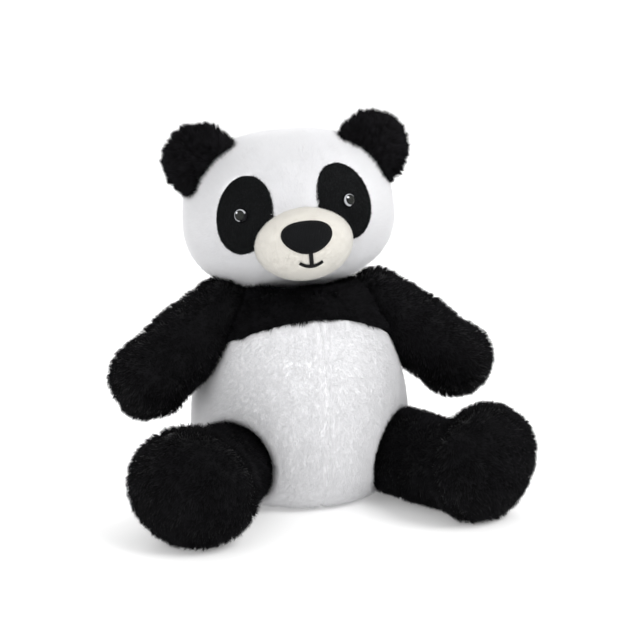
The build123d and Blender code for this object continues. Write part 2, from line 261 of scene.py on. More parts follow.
def cloth_piece(name, points, faces, thickness, body, material, stands_for=()):
    """A sheet of cloth with some thickness, its outside where the faces are."""
    piece = mesh_object(name, points, faces)
    solid = piece.modifiers.new("thickness", "SOLIDIFY")
    solid.thickness = thickness * MM
    solid.offset = -1
    return place(piece, body, material, stands_for)


def filling(name, points, faces, inset, body, stands_for):
    """Loose fibre inside a skin, a little lumpy."""
    inward = normals_of(points, faces) * -inset
    lumps = normals_of(points, faces) * waves(points, 22, len(name))[:, :1] * 0.6
    piece = mesh_object(name, points + inward + lumps, faces)
    return place(piece, body, materials["fibre"], stands_for)


# ---- Materials


class Graph:
    """A material's node graph, written one node at a time."""

    def __init__(self, name):
        self.material = bpy.data.materials.new(name)
        self.material.use_nodes = True
        self.tree = self.material.node_tree
        self.shader = self.tree.nodes["Principled BSDF"]

    def node(self, kind, settings=None, **inputs):
        made = self.tree.nodes.new(kind)
        for key, value in (settings or {}).items():
            setattr(made, key, value)
        for key, value in inputs.items():
            self.put(made.inputs[key.replace("_", " ")], value)
        return made

    def put(self, socket, value):
        if isinstance(value, bpy.types.NodeSocket):
            self.tree.links.new(value, socket)
        else:
            socket.default_value = value

    def math(self, operation, a, b=0.0, clamp=False):
        made = self.node("ShaderNodeMath", {"operation": operation, "use_clamp": clamp})
        self.put(made.inputs[0], a)
        self.put(made.inputs[1], b)
        return made.outputs[0]

    def mix(self, share, a, b):
        made = self.node("ShaderNodeMix", {"data_type": "RGBA"})
        self.put(made.inputs[0], share)
        self.put(made.inputs[6], a)
        self.put(made.inputs[7], b)
        return made.outputs[2]

    def noise(self, scale, detail=3.0):
        place_in = self.node("ShaderNodeTexCoord").outputs["Object"]
        made = self.node("ShaderNodeTexNoise", Scale=scale, Detail=detail, Vector=place_in)
        return made.outputs[0]

    def ramp(self, value, low, high):
        """0 below low, 1 above high, smooth between."""
        made = self.node("ShaderNodeMapRange", {"interpolation_type": "SMOOTHSTEP"})
        self.put(made.inputs["Value"], value)
        made.inputs["From Min"].default_value = low
        made.inputs["From Max"].default_value = high
        return made.outputs["Result"]

    def bump(self, height, strength, distance):
        made = self.node("ShaderNodeBump", Strength=strength, Distance=distance, Height=height)
        self.put(self.shader.inputs["Normal"], made.outputs[0])

    def finish(self, color, roughness, specular=0.3, sheen=0.0, sheen_roughness=0.5):
        self.put(self.shader.inputs["Base Color"], color)
        self.put(self.shader.inputs["Roughness"], roughness)
        self.put(self.shader.inputs["Specular IOR Level"], specular)
        self.put(self.shader.inputs["Sheen Weight"], sheen)
        self.put(self.shader.inputs["Sheen Roughness"], sheen_roughness)
        return self.material


def rgba(r, g, b):
    return (r, g, b, 1.0)


def pile_material(name, root, tip, strand_change, roughness, specular, sheen, mottling=0.06):
    """Pile: darker at the root, as painted shade deep in the pile, and no two strands quite alike."""
    g = Graph(name)
    uv = g.node("ShaderNodeUVMap", {"uv_map": "OFBake"}).outputs[0]
    split = g.node("ShaderNodeSeparateXYZ", Vector=uv)
    # Painted shade: the colour darkens from the tip down to the root, where the pile shades itself.
    along = g.mix(split.outputs["Y"], root, tip)
    mottle = g.noise(45.0)
    drift = g.math("MULTIPLY_ADD", mottle, mottling)
    drift.node.inputs[2].default_value = 1 - mottling / 2
    change = g.math("MULTIPLY_ADD", split.outputs["X"], 2 * strand_change)
    change.node.inputs[2].default_value = 1 - strand_change
    tone = g.math("MULTIPLY", drift, change)
    made = g.node("ShaderNodeVectorMath", {"operation": "SCALE"}, Scale=tone)
    g.put(made.inputs[0], along)
    return g.finish(made.outputs[0], roughness, specular, sheen)


def backing_material(name, color, other):
    """The knitted backing that the pile grows from."""
    g = Graph(name)
    knit = g.noise(900.0, 2.0)
    shade = g.mix(g.noise(60.0), color, other)
    g.bump(knit, 0.4, 0.0005)
    return g.finish(shade, 0.9, 0.1, 0.2)


def velour_material(name, color, other, ribs, bump_strength, specular, sheen):
    """Short velour with fine ribs running down it."""
    g = Graph(name)
    where = g.node("ShaderNodeTexCoord").outputs["Object"]
    rib = g.node("ShaderNodeTexWave", {"bands_direction": "X"}, Vector=where, Scale=ribs,
                 Distortion=1.2, Detail=2.0)
    fuzz = g.noise(1400.0, 4.0)
    both = g.math("ADD", g.math("MULTIPLY", rib.outputs["Fac"], 0.5), fuzz)
    g.bump(both, bump_strength, 0.0004)
    shade = g.mix(g.math("MULTIPLY", g.noise(120.0), 0.8), color, other)
    shade = g.mix(g.math("MULTIPLY", rib.outputs["Fac"], 0.12), shade, other)
    return g.finish(shade, 0.8, specular, sheen)


def thread_material(name, color, other, specular):
    g = Graph(name)
    twist = g.node("ShaderNodeTexWave", {"bands_direction": "DIAGONAL"}, Scale=900.0,
                   Distortion=0.5, Vector=g.node("ShaderNodeTexCoord").outputs["Object"])
    g.bump(twist.outputs["Fac"], 0.3, 0.0002)
    return g.finish(g.mix(g.noise(700.0), color, other), 0.55, specular, 0.05)


def fibre_material():
    g = Graph("fibre")
    strands = g.noise(500.0, 6.0)
    g.bump(strands, 0.8, 0.001)
    return g.finish(g.mix(strands, rgba(0.80, 0.80, 0.78), rgba(0.97, 0.97, 0.95)), 0.95, 0.1)


def pellet_material():
    g = Graph("pellet_cloth")
    cells = g.node("ShaderNodeTexVoronoi", Scale=260.0,
                   Vector=g.node("ShaderNodeTexCoord").outputs["Object"])
    g.bump(cells.outputs["Distance"], 0.7, 0.0015)
    return g.finish(g.mix(g.noise(800.0), rgba(0.78, 0.78, 0.74), rgba(0.9, 0.9, 0.86)), 0.85, 0.2)


def washer_material():
    g = Graph("washer_plastic")
    g.bump(g.noise(300.0), 0.15, 0.0003)
    return g.finish(g.mix(g.noise(90.0), rgba(0.8, 0.8, 0.76), rgba(0.92, 0.92, 0.9)), 0.45, 0.5)


def eye_material(name, centre, right, up, radius):
    """A glossy dome: mottled dark iris, black rim, a thin pale crescent round the pupil that is a
    painted reflection, and a painted highlight at the upper left.
    """
    g = Graph(name)
    where = g.node("ShaderNodeTexCoord").outputs["Object"]
    away = g.node("ShaderNodeVectorMath", {"operation": "SUBTRACT"})
    g.put(away.inputs[0], where)
    g.put(away.inputs[1], tuple(centre * MM))

    def part_along(way):
        dot = g.node("ShaderNodeVectorMath", {"operation": "DOT_PRODUCT"})
        g.put(dot.inputs[0], away.outputs[0])
        g.put(dot.inputs[1], tuple(way / (radius * MM)))
        return dot.outputs["Value"]

    def distance_to(x, y):
        dx = g.math("SUBTRACT", part_along(right), x)
        dy = g.math("SUBTRACT", part_along(up), y)
        return g.math("SQRT", g.math("ADD", g.math("MULTIPLY", dx, dx), g.math("MULTIPLY", dy, dy)))

    out = distance_to(0.0, 0.0)
    ring = g.math("MULTIPLY", g.ramp(out, 0.70, 0.76), g.math("SUBTRACT", 1.0, g.ramp(out, 0.86, 0.92)))
    # The painted reflection's crescent is open towards the lower right.
    lean = g.math("ADD", g.math("MULTIPLY", part_along(right), 0.85),
                  g.math("MULTIPLY", part_along(up), -0.53))
    painted_reflection_arc = g.math("MULTIPLY", ring, g.math("SUBTRACT", 1.0, g.ramp(lean, 0.35, 0.5)))
    iris = g.math("SUBTRACT", 1.0, g.ramp(out, 0.58, 0.68))
    mottled = g.mix(g.noise(1500.0), rgba(0.006, 0.0065, 0.006), rgba(0.03, 0.032, 0.028))
    color = g.mix(iris, rgba(0.004, 0.004, 0.005), mottled)
    # Painted reflection: a pale arc of the bright studio, set into the base colour.
    color = g.mix(painted_reflection_arc, color, rgba(0.42, 0.43, 0.45))
    # Painted highlight: a small pale dot at the upper left, where a lamp glints.
    painted_glint = g.math("SUBTRACT", 1.0, g.ramp(distance_to(-0.42, 0.36), 0.10, 0.19))
    color = g.mix(painted_glint, color, rgba(0.85, 0.86, 0.88))
    return g.finish(color, 0.25, 0.12)


# In each pile material the first colour is the root, darkened as painted shade, and the second is the
# tip.
materials = {
    "white_pile": pile_material("white_pile", rgba(0.90, 0.90, 0.92), rgba(0.965, 0.965, 0.98),
                                0.02, 0.9, 0.08, 0.2),
    # Painted sheen: on the black pile, the strong mottling and per-tuft change set lighter tufts and
    # streaks in place of reflection, over tone that also differs at random.
    "black_pile_painted_sheen": pile_material("black_pile_painted_sheen", rgba(0.0008, 0.0008, 0.001),
                                rgba(0.0095, 0.0092, 0.0108), 0.6, 0.55, 0.05, 0.0,
                                mottling=0.7),
    # Painted sheen: the nap's lighter tips and strong mottling give the eye patches a soft sheen.
    "black_nap_painted_sheen": pile_material("black_nap_painted_sheen", rgba(0.0015, 0.0017, 0.0018),
                               rgba(0.016, 0.018, 0.019), 0.6, 0.6, 0.12, 0.0, mottling=0.9),
    "cream_pile": pile_material("cream_pile", rgba(0.76, 0.735, 0.68), rgba(0.83, 0.81, 0.76),
                                0.03, 0.9, 0.08, 0.1),
    "white_backing": backing_material("white_backing", rgba(0.86, 0.86, 0.88), rgba(0.93, 0.93, 0.94)),
    "black_backing": backing_material("black_backing", rgba(0.003, 0.003, 0.004),
                                      rgba(0.008, 0.008, 0.009)),
    "cream_velour": velour_material("cream_velour", rgba(0.80, 0.775, 0.72), rgba(0.72, 0.69, 0.63),
                                    260.0, 0.35, 0.15, 0.1),
    "black_velour": velour_material("black_velour", rgba(0.0022, 0.0025, 0.003),
                                    rgba(0.0055, 0.006, 0.007), 260.0, 0.8, 0.12, 0.0),
    "black_thread": thread_material("black_thread", rgba(0.002, 0.002, 0.0025),
                                    rgba(0.006, 0.006, 0.007), 0.12),
    "white_thread": thread_material("white_thread", rgba(0.78, 0.78, 0.8), rgba(0.9, 0.9, 0.9),
                                    0.35),
    "fibre": fibre_material(),
    "pellet_cloth": pellet_material(),
    "washer_plastic": washer_material(),
}


# ---- Pile


class Coat:
    """How one kind of pile grows, in mm.

    stand, lay and mess are how much a strand points off the skin, along the comb and at random.
    wave bends whole areas over wave_size. clump gathers the tips of per_clump strands. arch
    bends a strand, spread varies its length, and stretch below 1 draws the waves out upright.
    """

    def __init__(self, length, width, stand, lay, mess, wave, wave_size, clump, per_clump,
                 arch=0.0, spread=0.3, stretch=1.0):
        self.length, self.width = length, width
        self.stand, self.lay, self.mess = stand, lay, mess
        self.wave, self.wave_size = wave, wave_size
        self.clump, self.per_clump = clump, per_clump
        self.arch, self.spread, self.stretch = arch, spread, stretch


WHITE = Coat(length=3.4, width=0.32, stand=0.60, lay=0.74, mess=0.10, wave=0.09, wave_size=24,
             clump=0.06, per_clump=10, stretch=0.3)
BLACK = Coat(length=6.4, width=0.46, stand=0.70, lay=0.48, mess=0.22, wave=0.24, wave_size=20,
             clump=0.32, per_clump=18, arch=0.12)
EAR = Coat(length=7.4, width=0.48, stand=0.74, lay=0.42, mess=0.22, wave=0.30, wave_size=12,
           clump=0.45, per_clump=24, arch=0.10)
VELOUR = Coat(length=1.6, width=0.30, stand=0.80, lay=0.30, mess=0.40, wave=0.2, wave_size=8,
              clump=0.25, per_clump=8)
CREAM = Coat(length=1.3, width=0.26, stand=0.80, lay=0.30, mess=0.25, wave=0.08, wave_size=12,
             clump=0.05, per_clump=8)


def owners_of(roots, leaders):
    """For each root, the nearest leader."""
    tree = KDTree(len(leaders))
    for i, root in enumerate(roots[leaders].tolist()):
        tree.insert(root, i)
    tree.balance()
    return np.array([tree.find(root)[1] for root in roots.tolist()])


def strand_mesh(name, roots, mids, tips, width, shade_way, u):
    """Closed three-sided strands that taper from a root, over a bend if there is one, to a tip."""
    rng = np.random.default_rng(len(roots))
    axis = unit(tips - roots)
    first = unit(np.cross(axis, rng.normal(size=axis.shape)))
    second = np.cross(axis, first)
    corners = [math.tau * k / 3 for k in range(3)]
    ring = np.stack([first * math.cos(c) + second * math.sin(c) for c in corners], axis=1)
    radius = (width / 2)[:, None, None]
    rings = [roots[:, None] + ring * radius]
    heights = [0.0]
    if mids is not None:
        rings.append(mids[:, None] + ring * radius * 0.72)
        heights.append(0.5)
    each = 3 * len(rings) + 1
    points = np.concatenate(rings + [tips[:, None]], axis=1)
    points[..., 2] = np.maximum(points[..., 2], 0.15)
    faces = [(2, 1, 0)]
    for base in range(0, 3 * (len(rings) - 1), 3):
        for k in range(3):
            n = (k + 1) % 3
            faces.append((base + k, base + n, base + 3 + n))
            faces.append((base + k, base + 3 + n, base + 3 + k))
    last = 3 * (len(rings) - 1)
    faces += [(last + k, last + (k + 1) % 3, each - 1) for k in range(3)]
    faces = np.array(faces)
    height = np.array(sum([[h] * 3 for h in heights], []) + [1.0])
    all_faces = (faces[None] + np.arange(len(roots))[:, None, None] * each).reshape(-1, 3)
    uv = np.empty((len(roots), len(faces), 3, 2))
    uv[..., 0] = u[:, None, None]
    uv[..., 1] = height[faces][None]
    outward = np.concatenate([ring] * len(rings) + [axis[:, None]], axis=1)
    normals = unit(outward * 0.45 + shade_way[:, None] * 0.75)
    return mesh_object(name, points.reshape(-1, 3), all_faces, uv.reshape(-1, 2),
                       normals.reshape(-1, 3))


def grow(name, points, faces, count, coat, comb, body, material, seed, keep=None,
         long=None):
    """Pile over a skin. comb gives each root the way its strand lies, keep says where it grows,
    and long scales its length."""
    rng = np.random.default_rng(seed)
    width_gain = 1.0
    corner = points[faces]
    weight = np.linalg.norm(np.cross(corner[:, 1] - corner[:, 0], corner[:, 2] - corner[:, 0]), axis=1)
    if keep is not None:
        weight = weight * keep(corner.mean(axis=1))
    pick = rng.choice(len(faces), count, p=weight / weight.sum())
    a, b = rng.random(count), rng.random(count)
    over = a + b > 1
    a[over], b[over] = 1 - a[over], 1 - b[over]
    share = np.stack([1 - a - b, a, b], axis=1)[..., None]
    roots = (corner[pick] * share).sum(axis=1)
    normal = unit((normals_of(points, faces)[faces[pick]] * share).sum(axis=1))
    roots = roots - normal * 0.3
    lie = comb(roots)
    lie = unit(lie - normal * (lie * normal).sum(axis=1, keepdims=True))
    grain = roots * [1, 1, coat.stretch]
    swirl = waves(grain, coat.wave_size, seed + 7) * coat.wave
    swirl += waves(grain, coat.wave_size * 0.35, seed + 8) * coat.wave * 0.5
    way = unit(normal * coat.stand + lie * coat.lay + swirl
               + rng.normal(size=roots.shape) * coat.mess)
    length = coat.length * (1 + rng.uniform(-1, 1, count) * coat.spread)
    if long is not None:
        length = length * long(roots)
    tips = roots + way * length[:, None]
    leaders = rng.choice(count, max(2, count // coat.per_clump), replace=False)
    owner = owners_of(roots, leaders)
    gather = tips[leaders][owner] - tips
    tips = tips + gather * coat.clump * rng.uniform(0.5, 1.2, count)[:, None]
    mids = None
    if coat.arch:
        mids = (roots + tips) / 2 + normal * (length * coat.arch)[:, None]
    width = coat.width * width_gain * rng.uniform(0.75, 1.25, count)
    # Strands of one tuft share most of their shade.
    u = np.clip(0.6 * rng.random(len(leaders))[owner] + 0.4 * rng.random(count), 0, 1)
    piece = strand_mesh(name, roots, mids, tips, width, normal, u)
    return place(piece, body, material)


def down(roots):
    return np.tile([0.0, 0.0, -1.0], (len(roots), 1))


def towards(end, drop=0.0):
    """A comb that runs away from a point, with some pull down."""
    end = np.asarray(end, float)
    return lambda roots: unit(roots - end) + np.array([0, 0, -drop])


def along(way, drop=0.0):
    way = np.asarray(way, float)
    return lambda roots: np.tile(way / np.linalg.norm(way) + np.array([0, 0, -drop]),
                                 (len(roots), 1))


# ---- The head's frame

head_turning = (Matrix.Rotation(math.radians(HEAD_TURN), 3, "Z")
                @ Matrix.Rotation(math.radians(HEAD_TIP), 3, "X")
                @ Matrix.Rotation(math.radians(HEAD_TILT), 3, "Y"))
head_axes = np.array(head_turning)
head_centre = middle("head_front", "head_back", "head_seam")


def to_head(points):
    return (points - head_centre) @ head_axes


def from_head(points):
    return np.asarray(points, float) @ head_axes.T + head_centre


def in_patch(local, side, grow_by=0.0):
    """Inside an eye patch's outline, seen from the front."""
    lean = math.radians(PATCH_LEAN) * side
    x = local[:, 0] - side * PATCH_X - FACE_SHIFT
    z = local[:, 2] - PATCH_Z - side * FACE_SKEW
    across = x * math.cos(lean) + z * math.sin(lean)
    up = -x * math.sin(lean) + z * math.cos(lean)
    inside = (across / (PATCH_HALF_WIDTH + grow_by)) ** 2 + (up / (PATCH_HALF_HEIGHT + grow_by)) ** 2
    return (inside < 1) & (local[:, 1] < 0)


# ---- Torso

TORSO_NODES = ["belly_panel_left", "belly_panel_right", "back_panel_left", "back_panel_right",
               "front_seam", "back_seam", "shoulder_yoke", "base_panel", "torso_stuffing"]


def arch_level(points):
    """Above zero over the arch where the yoke meets the white panels."""
    rise = YOKE_FRONT - YOKE_ARMPIT
    radius = (YOKE_ARMPIT_X ** 2 + rise ** 2) / (2 * rise)
    x = np.clip(np.abs(points[:, 0]), 0, YOKE_ARMPIT_X)
    line = YOKE_FRONT - radius + np.sqrt(radius ** 2 - x ** 2)
    return points[:, 2] - line


def base_level(points):
    """Below zero on the round base."""
    return np.maximum(np.hypot(points[:, 0], points[:, 1]) - BASE_EDGE, points[:, 2] - 4)


def build_torso():
    points, faces = wrap(TORSO_NODES, (0, 4, 78), SKIN_LEVEL)
    points = relax(points, faces, 3)
    points = snap_to(points, faces, lambda p: p[:, 0])
    points = snap_to(points, faces, lambda p: p[:, 1])
    points = snap_to(points, faces, arch_level)
    seam = bell(points[:, 0], 0, 2.2) * (np.abs(points[:, 1]) > 20)
    points = points - normals_of(points, faces) * (seam * 0.9)[:, None]
    points[:, 2] = np.maximum(points[:, 2], 0.3)
    filling("torso_filling", points, faces, FILL_INSET, "torso", ["torso_stuffing"])

    def white(p):
        return (arch_level(p) <= 0) & (base_level(p) > 0)

    number = 20
    for name, side in SIDES.items():
        for panel, facing in {"belly": -1, "back": 1}.items():
            def inside(p, side=side, facing=facing):
                return white(p) & (p[:, 0] * side > 0) & (p[:, 1] * facing > 0)

            cut, cut_faces = part_of(points, faces, inside)
            cloth_piece(f"{panel}_cloth_{name}", cut, cut_faces, CLOTH, "torso",
                        materials["white_backing"], [f"{panel}_panel_{name}"])

            def comb(roots, side=side):
                parting = bell(roots[:, 0], 0, 5)[:, None] * np.array([side * 0.35, 0, 0])
                return np.array([0, 0, -1.0]) + parting

            def short_by_seam(roots):
                return 1 - 0.2 * bell(roots[:, 0], 0, 2.0)

            number += 1
            grow(f"{panel}_pile_{name}", cut, cut_faces, PANEL_STRANDS, WHITE, comb, "torso",
                 materials["white_pile"], number, long=short_by_seam)

    cut, cut_faces = part_of(points, faces, lambda p: base_level(p) <= 0)
    cloth_piece("base_cloth", cut, cut_faces, CLOTH, "torso", materials["white_backing"],
                ["base_panel"])

    cut, cut_faces = part_of(points, faces, lambda p: arch_level(p) > 0)
    cloth_piece("yoke_cloth", cut, cut_faces, CLOTH, "torso", materials["black_backing"],
                ["shoulder_yoke"])

    def yoke_comb(roots):
        return np.stack([roots[:, 0] / 90, roots[:, 1] / 90, np.full(len(roots), -1.0)], axis=1)

    for name, side in SIDES.items():
        grow(f"yoke_pile_{name}", cut, cut_faces, LIMB_STRANDS, BLACK, yoke_comb,
             "torso", materials["black_pile_painted_sheen"], 31 + side,
             keep=lambda p, side=side: p[:, 0] * side > 0)
    return points, faces


def build_seam_threads(points, faces):
    """A line of small stitches down the front and the back of the torso."""
    tree = tree_of(points, faces)
    for name, facing in {"front_seam": -1, "back_seam": 1}.items():
        low, high = box_mm(name)
        pieces = []
        z = low[2] + 6
        while z < high[2] - 4:
            hit = tree.ray_cast([0, facing * REACH, z], [0, -facing, 0])[0]
            if hit is not None:
                spot = np.array(hit)
                pieces.append((spot + [0, 0, -1.5], spot + [0, 0, 1.5]))
            z += 4.0
        threads(f"{name}_stitches", pieces, 0.8, "torso", "white_thread", [name])


# ---- Threads


def capsule(start, end, width, around=8, rings=7):
    """A thread's short length: a rod with rounded ends."""
    axis = unit(end - start)
    first = unit(np.cross(axis, [0.31, 0.52, 0.79]))
    second = np.cross(axis, first)
    points = []
    for i in range(1, rings):
        angle = math.pi * i / rings
        spot = (start + end) / 2 - axis * math.cos(angle) * np.linalg.norm(end - start) / 2
        swell = width / 2 * math.sin(angle) ** 0.5
        for k in range(around):
            turn = math.tau * k / around
            points.append(spot + (first * math.cos(turn) + second * math.sin(turn)) * swell)
    points += [start, end]
    faces = []
    tail, head = len(points) - 2, len(points) - 1
    for i in range(rings - 2):
        for k in range(around):
            n = (k + 1) % around
            a, b = i * around + k, i * around + n
            faces += [(a, b, b + around), (a, b + around, a + around)]
    for k in range(around):
        n = (k + 1) % around
        last = (rings - 2) * around
        faces += [(tail, n, k), (last + k, last + n, head)]
    return np.array(points), np.array(faces)


def threads(name, lengths, width, body, material, stands_for=()):
    """Many short lengths of thread as one piece."""
    points, faces, start = [], [], 0
    for a, b in lengths:
        made, made_faces = capsule(np.asarray(a, float), np.asarray(b, float), width)
        points.append(made)
        faces.append(made_faces + start)
        start += len(made)
    piece = mesh_object(name, np.vstack(points), np.vstack(faces))
    return place(piece, body, materials[material], stands_for)


# ---- Head


def build_head():
    points, faces = wrap(["head_front", "head_back", "head_seam", "head_stuffing"], head_centre,
                         SKIN_LEVEL)
    # The eyes' stem holes are closed, and the ends of the ear slots softened.
    holes = np.zeros(len(points))
    slots = np.zeros(len(points))
    for name in SIDES:
        stem = middle(f"eye_washer_{name}")
        holes = np.maximum(holes, np.linalg.norm(points - stem, axis=1) < 8.5)
        hinge = joint_point(f"ear_fold_{name}")
        slots = np.maximum(slots, bell(np.linalg.norm(points - hinge, axis=1), 20, 9))
    points = relax(points, faces, 400, 0.9, holes)
    points = relax(points, faces, 30, 0.5, slots)
    points = relax(points, faces, 3)
    local = to_head(points)
    side_share = np.clip(np.abs(local[:, 0]) / 79, 0, 1)
    jowl = 2.5 * bell(local[:, 2], -20, 20) + 7.5 * bell(local[:, 2], -46, 17)
    jowl *= side_share ** 2 * (local[:, 1] < 30)
    local[:, 0] += np.sign(local[:, 0]) * jowl
    points = snap_to(from_head(local), faces, lambda p: to_head(p)[:, 1] - SEAM_Y)
    filling("head_filling", points, faces, FILL_INSET, "head", ["head_stuffing"])
    muzzle_middle = from_head([MUZZLE_CENTRE])[0]

    def bare(p):
        """Under the muzzle and the eye patches no pile grows."""
        local = to_head(p)
        off = local - np.array(MUZZLE_CENTRE)
        across = off[:, 0] / (MUZZLE_HALF_WIDTH - 0.6)
        covered = across ** 2 + (np.hypot(off[:, 1], off[:, 2]) / (MUZZLE_RADIUS - 0.6)) ** 2 < 1
        for side in SIDES.values():
            covered |= in_patch(local, side, 0.4)
        return ~covered

    def comb(roots):
        behind = 1 / (1 + np.exp(-(to_head(roots)[:, 1] - 15) / 10))[:, None]
        return unit(roots - muzzle_middle) + np.array([0, 0, -1.0]) * behind

    front, front_faces = part_of(points, faces, lambda p: to_head(p)[:, 1] < SEAM_Y)
    back, back_faces = part_of(points, faces, lambda p: to_head(p)[:, 1] >= SEAM_Y)
    cloth_piece("head_front_cloth", front, front_faces, CLOTH, "head",
                materials["white_backing"], ["head_front"])
    cloth_piece("head_back_cloth", back, back_faces, CLOTH, "head",
                materials["white_backing"], ["head_back"])
    hinges = [joint_point(f"ear_fold_{name}") for name in SIDES]

    def long(roots):
        """The pile is longest where it meets the ears, and under the chin."""
        near = [bell(np.linalg.norm(roots - hinge, axis=1), 20, 9) for hinge in hinges]
        chin = np.clip((-38 - to_head(roots)[:, 2]) / 14, 0, 1)
        return 1 + 1.2 * np.maximum(*near) + 0.9 * chin

    for name, side in SIDES.items():
        grow(f"head_front_pile_{name}", front, front_faces, FACE_STRANDS, WHITE, comb, "head",
             materials["white_pile"], 41 + side, long=long,
             keep=lambda p, side=side: bare(p) & ((p[:, 0] - head_centre[0]) * side > 0))
        grow(f"head_back_pile_{name}", back, back_faces, PANEL_STRANDS, WHITE, comb, "head",
             materials["white_pile"], 51 + side, long=long,
             keep=lambda p, side=side: (p[:, 0] - head_centre[0]) * side > 0)
    return points, faces


def ring_stitches(points, faces):
    """The head's seam: stitches all round it, through both ears."""
    tree = tree_of(points, faces)
    lengths = []
    count = 110
    for k in range(count):
        spots = []
        for turn in (k, k + 0.55):
            angle = math.tau * turn / count
            way = head_axes @ np.array([math.cos(angle), 0, math.sin(angle)])
            start = from_head([[0, SEAM_Y, 0]])[0] + way * REACH
            hit = tree.ray_cast(start.tolist(), (-way).tolist())[0]
            spots.append(np.array(hit))
        lengths.append(spots)
    threads("head_seam_stitches", lengths, 0.8, "head", "white_thread", ["head_seam"])


def on_surface(tree, x, z, lift=0.0):
    """A point of the face, found by looking straight back from the front, raised by lift."""
    start = from_head([[x, -REACH, z]])[0]
    spot, normal, _, _ = tree.ray_cast(start.tolist(), (head_axes @ np.array([0, 1.0, 0])).tolist())
    if spot is None:
        return None
    normal = np.array(normal)
    if to_head(head_centre + normal[None])[0][1] > 0:
        normal = -normal
    return np.array(spot) + normal * lift


def padded_patch(tree, outline, profile, under, steps=96):
    """A sewn-on patch: a pad over an outline that follows the surface under it. profile gives
    its height from the middle (0) to the edge (1)."""
    shares = [s for s, _ in profile]
    heights = [h for _, h in profile]
    centre = np.mean([outline(k / steps) for k in range(steps)], axis=0)
    points = [on_surface(tree, centre[0], centre[1], heights[0])]
    faces = []
    for share, height in zip(shares[1:], heights[1:]):
        for k in range(steps):
            x, z = centre + (np.array(outline(k / steps)) - centre) * share
            points.append(on_surface(tree, x, z, height))
    rings = len(shares) - 1
    for k in range(steps):
        n = (k + 1) % steps
        faces.append((0, 1 + k, 1 + n))
        for r in range(rings - 1):
            a, b = 1 + r * steps + k, 1 + r * steps + n
            faces += [(a, a + steps, b + steps), (a, b + steps, b)]
    # The underside closes the pad.
    base = len(points)
    for share in (1.0, 0.5):
        for k in range(steps):
            x, z = centre + (np.array(outline(k / steps)) - centre) * share
            points.append(on_surface(tree, x, z, under))
    points.append(on_surface(tree, centre[0], centre[1], under))
    last = 1 + (rings - 1) * steps
    for k in range(steps):
        n = (k + 1) % steps
        faces += [(last + k, base + k, base + n), (last + k, base + n, last + n)]
        faces += [(base + k, base + steps + k, base + steps + n),
                  (base + k, base + steps + n, base + n)]
        faces.append((base + steps + k, len(points) - 1, base + steps + n))
    return np.array(points), np.array(faces)


def build_eye_patches(tree):
    profile = [(0, 1.7), (0.3, 1.7), (0.55, 1.7), (0.75, 1.6), (0.84, 1.4), (0.88, 0.9),
               (0.92, 1.4), (0.96, 1.5), (0.99, 1.0), (1.0, 0.3)]
    for name, side in SIDES.items():
        lean = math.radians(PATCH_LEAN) * side

        def outline(turn, side=side, lean=lean):
            angle = math.tau * turn
            across, up = PATCH_HALF_WIDTH * math.cos(angle), PATCH_HALF_HEIGHT * math.sin(angle)
            x = side * PATCH_X + FACE_SHIFT + across * math.cos(lean) - up * math.sin(lean)
            z = PATCH_Z + side * FACE_SKEW + across * math.sin(lean) + up * math.cos(lean)
            return x, z

        points, faces = padded_patch(tree, outline, profile, PAD_SINK)
        piece = mesh_object(f"eye_patch_velour_{name}", points, faces)
        place(piece, "head", materials["black_velour"], [f"eye_patch_{name}"])
        out = from_head([[0, -1, 0]])[0] - head_centre
        top = normals_of(points, faces) @ out > -0.2
        keep_faces = faces[top[faces].all(axis=1)]
        grow(f"eye_patch_nap_{name}", points, keep_faces, PATCH_STRANDS, VELOUR, down, "head",
             materials["black_nap_painted_sheen"], 61 + side)


def build_muzzle():
    points, faces = wrap(["muzzle", "muzzle_stuffing"], middle("muzzle_stuffing"), SMALL_SKIN_LEVEL)
    points = relax(points, faces, 2)
    filling("muzzle_filling", points, faces, 2.6, "head", ["muzzle_stuffing"])
    piece = mesh_object("muzzle_velour", points, faces)
    place(piece, "head", materials["cream_velour"], ["muzzle"])
    start = from_head([MUZZLE_CENTRE])[0]

    def keep(p):
        local = to_head(p)
        nose = ((local[:, 0] - NOSE_X) / NOSE_HALF_WIDTH) ** 2 \
            + ((local[:, 2] - NOSE_Z + 1.5) / (NOSE_RISE + 1.5)) ** 2 < 0.9
        mouth = (np.abs(local[:, 0] - MOUTH_X) < MOUTH_HALF_WIDTH + 1) \
            & (np.abs(local[:, 2] - MOUTH_Z - 1.2) < 2.4)
        bar = (np.abs(local[:, 0] - MOUTH_X) < 1.6) & (local[:, 2] > MOUTH_Z) & (local[:, 2] < NOSE_Z)
        seen = local[:, 1] < MUZZLE_CENTRE[1] + 8
        return seen & ~(nose | mouth | bar)

    grow("muzzle_nap", points, faces, FACE_STRANDS, CREAM, towards(start, 0.3), "head",
         materials["cream_pile"], 66, keep=keep)
    return tree_of(points, faces)


def nose_outline(turn):
    """A rounded triangle that points down, a little flat along its top."""
    angle = math.tau * turn
    x = math.cos(angle)
    z = math.sin(angle)
    height = NOSE_RISE if z > 0 else NOSE_DROP
    pinch = 1 - 0.30 * max(0.0, -z) ** 1.3
    return (NOSE_X + NOSE_HALF_WIDTH * math.copysign(abs(x) ** 0.86, x) * pinch,
            NOSE_Z + height * math.copysign(abs(z) ** 0.86, z))


